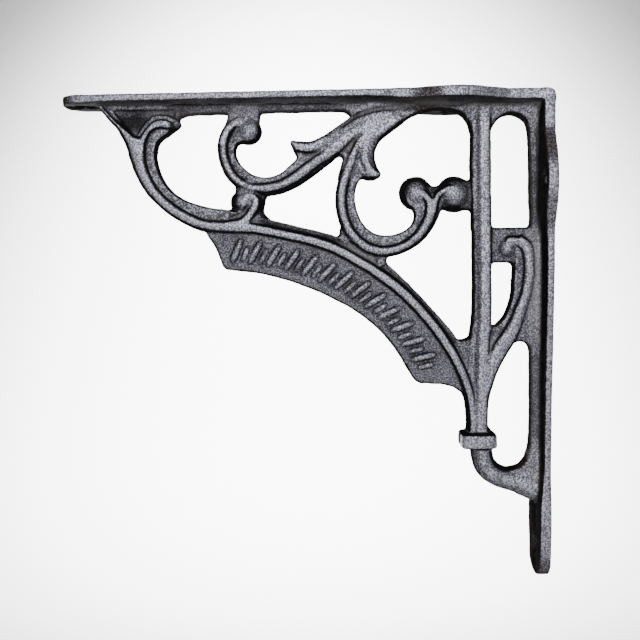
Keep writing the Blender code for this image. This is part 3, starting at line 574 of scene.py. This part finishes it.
def unpinched(field):
    """The field with no square of the grid inside at two opposite corners and outside at the other two, where
    the skin would touch itself along a line: the outside corner nearer to the surface is taken in."""
    square = np.array([(0, 0, 0), (1, 0, 0), (0, 1, 0), (1, 1, 0)])
    for _ in range(6):
        inside = field > 0
        for pair in ((0, 1), (0, 2), (1, 2)):
            level, flips = np.moveaxis(field, pair, (0, 1)), np.moveaxis(inside, pair, (0, 1))
            a, b, c, d = flips[:-1, :-1], flips[1:, :-1], flips[:-1, 1:], flips[1:, 1:]
            corners = np.argwhere((a == d) & (b == c) & (a != b))[:, None] + square
            value = level[tuple(np.moveaxis(corners, 2, 0))]
            chosen = np.where(value > 0, -99.0, value).argmax(1)
            level[tuple(corners[np.arange(len(corners)), chosen].T)] = 0.03
    return field


def skinned(field):
    """Surface of a field where it is nought. Each cell that the surface crosses gets one point, the mean of
    the crossings on its edges, and each crossed edge of the grid gets one face between its four cells."""
    inside = field > 0
    cells, spots, turns = [], [], []
    for axis in range(3):
        low = np.moveaxis(field, axis, 0)[:-1]
        high = np.moveaxis(field, axis, 0)[1:]
        flips = np.moveaxis(inside, axis, 0)
        at = np.argwhere(flips[:-1] != flips[1:])
        f0 = low[tuple(at.T)]
        f1 = high[tuple(at.T)]
        spot = at.astype(float)
        spot[:, 0] += f0 / (f0 - f1)
        corner = np.repeat(at[:, None], 4, 1)
        corner[:, :, 1] -= np.array([1, 0, 0, 1])
        corner[:, :, 2] -= np.array([1, 1, 0, 0])
        order = [[0, 1, 2], [1, 0, 2], [1, 2, 0]][axis]
        cells.append(corner[:, :, order])
        spots.append(spot[:, order])
        turns.append((f0 > 0) != (axis == 1))
    cells, spots, turns = np.concatenate(cells), np.concatenate(spots), np.concatenate(turns)
    key = (cells[..., 0] * field.shape[1] + cells[..., 1]) * field.shape[2] + cells[..., 2]
    index = np.unique(key.ravel(), return_inverse=True)[1]
    count = np.bincount(index)
    points = np.stack([np.bincount(index, weights=np.repeat(spots[:, k], 4)) / count for k in range(3)], 1)
    faces = index.reshape(-1, 4)
    faces = np.where(turns[:, None], faces, faces[:, ::-1])
    return points, faces


field = unpinched(field)
points, faces = skinned(field)
low_corner = np.array([out_line[0], across_line[0], down_line[0]])
places = low_corner + points * PITCH_MM
metres = np.stack([-places[:, 0], places[:, 1], 36.0 - places[:, 2]], 1) * 0.001

mesh = bpy.data.meshes.new("bracket_casting")
mesh.from_pydata(metres.tolist(), [], faces.tolist())
casting = bpy.data.objects.new("bracket_casting", mesh)
bpy.context.scene.collection.objects.link(casting)

# Sand-cast skin
# The mould leaves a low uneven grain all over: two layers of seeded noise move the points along the
# surface's own direction by about a tenth of a millimetre. Then the mesh is thinned where it is flat.
TRIANGLES = 192000
chance = np.random.default_rng(41)


def read_at(block, spots, low, pitch):
    """The value of a three-way block at each spot, the mean of the eight nearest weighted by nearness."""
    at = np.clip((spots - low) / pitch, 0, np.array(block.shape) - 1.001)
    base = at.astype(int)
    part = at - base
    total = np.zeros(len(spots))
    for i in (0, 1):
        for j in (0, 1):
            for k in (0, 1):
                share = (part[:, 0] if i else 1 - part[:, 0]) * (part[:, 1] if j else 1 - part[:, 1]) \
                    * (part[:, 2] if k else 1 - part[:, 2])
                total += share * block[base[:, 0] + i, base[:, 1] + j, base[:, 2] + k]
    return total


def laid_out(mesh):
    """The points of a mesh and the directions its surface faces there."""
    flat = np.empty(len(mesh.vertices) * 3, np.float32)
    mesh.vertices.foreach_get("co", flat)
    at = flat.reshape(-1, 3).astype(float)
    mesh.vertex_normals.foreach_get("vector", flat)
    return at, flat.reshape(-1, 3).astype(float)


at, outwards = laid_out(mesh)
push = np.full(len(at), -0.06)
for size, high in ((5.5, 0.16), (1.7, 0.10)):
    shape = (np.array([206.0, 46.0, 206.0]) / size).astype(int) + 2
    push += high * read_at(chance.uniform(-1, 1, shape), places, np.array([-3.2, -22.5, -3.2]), size)
moved = at + outwards * push[:, None] * 0.001
moved[np.abs(at[:, 0]) < 1e-5, 0] = 0.0
low_box, high_box = np.array(cad_box[0]), np.array(cad_box[1])
mesh.vertices.foreach_set("co", np.clip(moved, low_box, high_box).astype(np.float32).ravel())
mesh.update()

thin = casting.modifiers.new("thin", "DECIMATE")
thin.ratio = TRIANGLES / (2 * len(faces))
bpy.context.view_layer.update()
thinned = bpy.data.meshes.new_from_object(casting.evaluated_get(bpy.context.evaluated_depsgraph_get()))
casting.modifiers.clear()
casting.data = thinned
thinned.name = "bracket_casting"
thinned.shade_smooth()
at, outwards = laid_out(thinned)
at = np.clip(at, low_box, high_box)
at[np.abs(at[:, 0]) < 1e-5, 0] = 0.0
thinned.vertices.foreach_set("co", at.astype(np.float32).ravel())
spots = np.stack([-at[:, 0] * 1000, at[:, 1] * 1000, 36.0 - at[:, 2] * 1000], 1)

# Rubbed finish, with painted light and shade
# The casting was blacked all over and then rubbed, so the iron shines on the faces and proud edges and the
# black stays in the hollows, on the walls of the openings and in the corners. Light and shade are painted
# into the colour as well: faces turned to the front are painted bright, the walls are painted black as
# shade, and creases and corners are painted darker as shade.

# Dust and painted fill light lighten the coat under the plates and on the strips where they face the front,
# and a few spots along their edges (out, down, width, height, share) are painted darker and brown: rust with
# painted shade.
RUST_AND_SHADE_SPOTS = (
    (50.5, 2.5, 6.5, 6.0, 0.85), (2.5, 22.5, 6.0, 8.0, 0.85), (2.5, 49.0, 6.0, 8.0, 0.6),
    (199.5, 3.0, 6.0, 6.0, 0.8), (66.0, 2.5, 4.0, 6.0, 0.3), (3.0, 197.0, 8.0, 10.0, 0.8))
# Painted shade: crease tells how much iron lies close round each point and darkens creases and corners, the
# blacking left in them together with painted shade; buried is the same over a wider reach, where rubbing does
# not reach.
packed = np.clip(field / PITCH_MM + 0.5, 0, 1).astype(np.float32)
crease = read_at(softened(packed, 1.5), spots, low_corner, PITCH_MM)
half_long, half_across, half_tall = (count // 2 for count in packed.shape)
coarse = packed[:2 * half_long, :2 * half_across, :2 * half_tall]
coarse = coarse.reshape(half_long, 2, half_across, 2, half_tall, 2).mean((1, 3, 5))
buried = read_at(softened(coarse, 3.2), spots, low_corner + 0.5 * PITCH_MM, 2 * PITCH_MM)
# Painted light: how far each point faces the front, raised on the collar's sides, on the plates and on the
# pipe's sides turned out and down, so that these are painted lit.
lit_facing = np.abs(outwards[:, 1])
at_collar = (np.abs(spots[:, 0] - COLLAR_OUT) < 9) & (np.abs(spots[:, 2] - 141.6) < 4.0)
lit_facing = np.where(at_collar, np.maximum(lit_facing, np.hypot(outwards[:, 0], outwards[:, 1])), lit_facing)
lit_facing = np.where(np.abs(spots[:, 1]) > 10, lit_facing + 0.06, lit_facing)
at_pipe = (spots[:, 2] > 145.5) & (spots[:, 0] > 6.0)
pipe_painted_light = 0.74 + 0.15 * np.clip(-outwards[:, 0] - outwards[:, 2], 0, 1)
lit_facing = np.where(at_pipe, np.maximum(lit_facing, pipe_painted_light), lit_facing)
outer = ((spots[:, 2] < 0.4) | (spots[:, 0] < 0.4)).astype(float)
under = np.clip(-outwards[:, 2], 0, 1) + 0.12 * np.clip(-outwards[:, 0], 0, 1)
near_web = np.exp(-np.clip(np.abs(spots[:, 1]) - 4.0, 0, None) / 7.0) * (np.abs(spots[:, 1]) > 3.6)
near_plate = np.exp(-np.clip(np.minimum(spots[:, 2] - 6.0, spots[:, 0] - 7.0), 0, None) / 1.5)
under_arm = (spots[:, 2] < 12.5) * eased(spots[:, 0], 74, 84) * eased(-spots[:, 0], -166, -144)
on_strip = (np.abs(spots[:, 1]) < 4.2) * np.maximum(under_arm, spots[:, 0] < 8.5)
# Painted fill light with dust: the coat is lighter on faces turned down under the plates near the web, in the
# deep hollows and on the strips where they face the front.
dust_and_fill_light = np.clip(0.5 * under * near_web * near_plate + eased(buried, 0.53, 0.70)
               + 0.3 * lit_facing * on_strip, 0, 1)
# Painted shade: each spot darkens the colour where the plates' edges turn away from the front, tinted brown
# as rust.
rust_and_shade = np.zeros(len(spots))
for out, down, wide, tall, share in RUST_AND_SHADE_SPOTS:
    patch = np.exp(-((spots[:, 0] - out) / wide) ** 4 - ((spots[:, 2] - down) / tall) ** 4)
    rust_and_shade = np.maximum(rust_and_shade, share * patch * lit_facing * (np.abs(spots[:, 1]) > 3.0))
for name, values in (("lit_facing", lit_facing), ("crease", crease), ("buried", buried), ("dust_and_fill_light", dust_and_fill_light),
                     ("rust_and_shade", rust_and_shade), ("outer", outer)):
    layer = thinned.attributes.new(name, "FLOAT", "POINT")
    layer.data.foreach_set("value", values.astype(np.float32))

BLACKING, DUST_AND_FILL_LIGHT, RUBBED_AND_LIT = (0.0085, 0.008, 0.0085, 1), (0.24, 0.236, 0.25, 1), (0.47, 0.46, 0.56, 1)
RUST_AND_SHADE_BROWN = (0.040, 0.025, 0.018, 1)
iron = bpy.data.materials.new("cast_iron_rubbed_and_lit")
iron.use_nodes = True
nodes, links = iron.node_tree.nodes, iron.node_tree.links
shader = nodes["Principled BSDF"]


def node(kind, **settings):
    """A new node with its settings."""
    made = nodes.new(kind)
    for key, value in settings.items():
        setattr(made, key, value)
    return made


def grain(scale, detail, roughness):
    """Noise on the piece's own coordinates."""
    made = node("ShaderNodeTexNoise")
    made.inputs["Scale"].default_value = scale
    made.inputs["Detail"].default_value = detail
    made.inputs["Roughness"].default_value = roughness
    links.new(place.outputs["Object"], made.inputs["Vector"])
    return made.outputs["Fac"]


def ranged(value, low, high, to_low=0.0, to_high=1.0):
    """The value stretched from one range to another and held within it."""
    made = node("ShaderNodeMapRange")
    links.new(value, made.inputs["Value"])
    for key, number in (("From Min", low), ("From Max", high), ("To Min", to_low), ("To Max", to_high)):
        made.inputs[key].default_value = number
    return made.outputs["Result"]


def sum_of(a, b, operation="ADD"):
    """Two values put together."""
    made = node("ShaderNodeMath", operation=operation)
    for socket, value in zip(made.inputs, (a, b)):
        if isinstance(value, float):
            socket.default_value = value
        else:
            links.new(value, socket)
    return made.outputs["Value"]


def tinted(share, first, second):
    """One colour turning into another by a share."""
    made = node("ShaderNodeMix", data_type="RGBA")
    links.new(share, made.inputs["Factor"])
    for socket, colour in ((made.inputs["A"], first), (made.inputs["B"], second)):
        if isinstance(colour, tuple):
            socket.default_value = colour
        else:
            links.new(colour, socket)
    return made.outputs["Result"]


place = node("ShaderNodeTexCoord")
lit_facing = node("ShaderNodeAttribute", attribute_name="lit_facing").outputs["Fac"]
crease = node("ShaderNodeAttribute", attribute_name="crease").outputs["Fac"]
buried = node("ShaderNodeAttribute", attribute_name="buried").outputs["Fac"]
apart = node("ShaderNodeSeparateXYZ")
links.new(place.outputs["Object"], apart.inputs["Vector"])
proud = sum_of(apart.outputs["Y"], 0.0, "ABSOLUTE")
dust_and_fill_light = node("ShaderNodeAttribute", attribute_name="dust_and_fill_light").outputs["Fac"]
rust_and_shade = node("ShaderNodeAttribute", attribute_name="rust_and_shade").outputs["Fac"]
outer = node("ShaderNodeAttribute", attribute_name="outer").outputs["Fac"]
speckle = grain(1650.0, 1.5, 0.6)
patches = grain(170.0, 3.0, 0.55)
tint = grain(70.0, 2.0, 0.5)
# Painted light and real rubbing: the colour turns to the rubbed grey where the surface faces the front, which
# paints front faces bright and the walls of the openings black as shade, is darker in creases, and follows
# the height of the surface, where the proud parts are really rubbed.
rub_and_light = sum_of(ranged(lit_facing, 0.74, 0.98), ranged(crease, 0.56, 0.72, 1.0, 0.25), "MULTIPLY")
rub_and_light = sum_of(rub_and_light, ranged(buried, 0.52, 0.78, 1.0, 0.5), "MULTIPLY")
rub_and_light = sum_of(rub_and_light, ranged(proud, 0.0020, 0.0047, 0.05, 1.0), "MULTIPLY")
rub_and_light = sum_of(rub_and_light, ranged(rust_and_shade, 0.0, 1.0, 1.0, 0.1), "MULTIPLY")
rub_and_light = sum_of(rub_and_light, ranged(crease, 0.28, 0.42, 0.14, 0.0))
lifted = sum_of(ranged(speckle, 0.47, 0.62, 0.45, 2.1), ranged(patches, 0.3, 0.7, -0.12, 0.12))
bright = ranged(sum_of(rub_and_light, lifted, "MULTIPLY"), 0.0, 1.8, 0.0, 1.8)
# The coat greys with dust and painted fill light, and with wear in patches on the plates' top and back.
wear_and_fill_light = sum_of(dust_and_fill_light, sum_of(outer, ranged(patches, 0.3, 0.7, 0.15, 0.75), "MULTIPLY"), "MAXIMUM")
wear_and_fill_black = ranged(sum_of(wear_and_fill_light, ranged(speckle, 0.35, 0.65, 0.55, 1.45), "MULTIPLY"), 0.0, 1.4)
coat = tinted(wear_and_fill_black, BLACKING, DUST_AND_FILL_LIGHT)
colour = tinted(ranged(bright, 0.0, 1.8), coat, RUBBED_AND_LIT)
# Brown from random rust and from the spots of painted shade.
rust_and_shade_mix = sum_of(ranged(tint, 0.56, 0.72, 0.0, 0.5), rust_and_shade, "MAXIMUM")
colour = tinted(sum_of(rust_and_shade_mix, ranged(bright, 0.0, 0.6, 0.9, 0.0), "MULTIPLY"), colour, RUST_AND_SHADE_BROWN)
links.new(colour, shader.inputs["Base Color"])
links.new(ranged(bright, 0.0, 1.0, 0.0, 0.6), shader.inputs["Metallic"])
links.new(ranged(bright, 0.0, 1.4, 0.62, 0.42), shader.inputs["Roughness"])
links.new(sum_of(ranged(bright, 0.06, 0.5, 0.0, 0.45), ranged(outer, 0.0, 1.0, 0.0, 0.4), "MAXIMUM"),
          shader.inputs["Specular IOR Level"])
bump = node("ShaderNodeBump")
bump.inputs["Strength"].default_value = 0.55
bump.inputs["Distance"].default_value = 0.00022
links.new(sum_of(speckle, grain(650.0, 3.0, 0.6)), bump.inputs["Height"])
links.new(bump.outputs["Normal"], shader.inputs["Normal"])

thinned.materials.clear()
thinned.materials.append(iron)
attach(casting, "root")
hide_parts("shelf_bracket")

# Floor and light
# A white sheet lies under the bracket and bends up behind it. One large soft lamp stands behind the camera
# and above it, a wide spot lamp overhead lights the sheet behind the bracket, and the room is dim.
WHITE, ROOM_LIGHT = (0.86, 0.86, 0.86, 1), 0.12
paper_line = along([(-1.2, -0.42), (0.2, -0.42), (0.70, -0.40), (0.97, -0.20), (1.05, 0.3), (1.05, 1.6)],
                   0.04)
reach_x = np.linspace(-1.6, 1.4, 25)
grid = np.stack(np.broadcast_arrays(reach_x[:, None], paper_line[None, :, 0], paper_line[None, :, 1]), -1)
rows, columns = grid.shape[:2]
first = (np.arange(rows - 1)[:, None] * columns + np.arange(columns - 1)).ravel()
paper_mesh = bpy.data.meshes.new("paper_sheet")
paper_mesh.from_pydata(grid.reshape(-1, 3).tolist(), [],
                       np.stack([first, first + columns, first + columns + 1, first + 1], 1).tolist())
paper_mesh.shade_smooth()
paper = bpy.data.objects.new("paper_sheet", paper_mesh)
bpy.context.scene.collection.objects.link(paper)
white = bpy.data.materials.new("white_paper")
white.use_nodes = True
white.node_tree.nodes["Principled BSDF"].inputs["Base Color"].default_value = WHITE
white.node_tree.nodes["Principled BSDF"].inputs["Roughness"].default_value = 0.9
paper_mesh.materials.append(white)


def lamp(name, spot, aim, size, power, kind="AREA"):
    """A soft lamp, a panel or a spot of that size, turned to face a point."""
    light = bpy.data.lights.new(name, kind)
    if kind == "AREA":
        light.size = size
    else:
        light.shadow_soft_size = size
    light.energy = power
    body = bpy.data.objects.new(name, light)
    body.location = spot
    body.rotation_euler = (Vector(aim) - Vector(spot)).to_track_quat("-Z", "Y").to_euler()
    bpy.context.scene.collection.objects.link(body)
    return light


lamp("front_lamp", (-0.10, -1.10, 0.25), (-0.1, 0.0, -0.06), 0.7, 12.5)
sheet_lamp = lamp("sheet_lamp", (-0.12, 0.0, 0.85), (-0.12, 1.05, -0.24), 0.15, 900.0, "SPOT")
sheet_lamp.spot_size = radians(64)
sheet_lamp.spot_blend = 1.0

room = bpy.data.worlds.new("room")
room.use_nodes = True
room.node_tree.nodes["Background"].inputs["Color"].default_value = (1, 1, 1, 1)
room.node_tree.nodes["Background"].inputs["Strength"].default_value = ROOM_LIGHT
bpy.context.scene.world = room
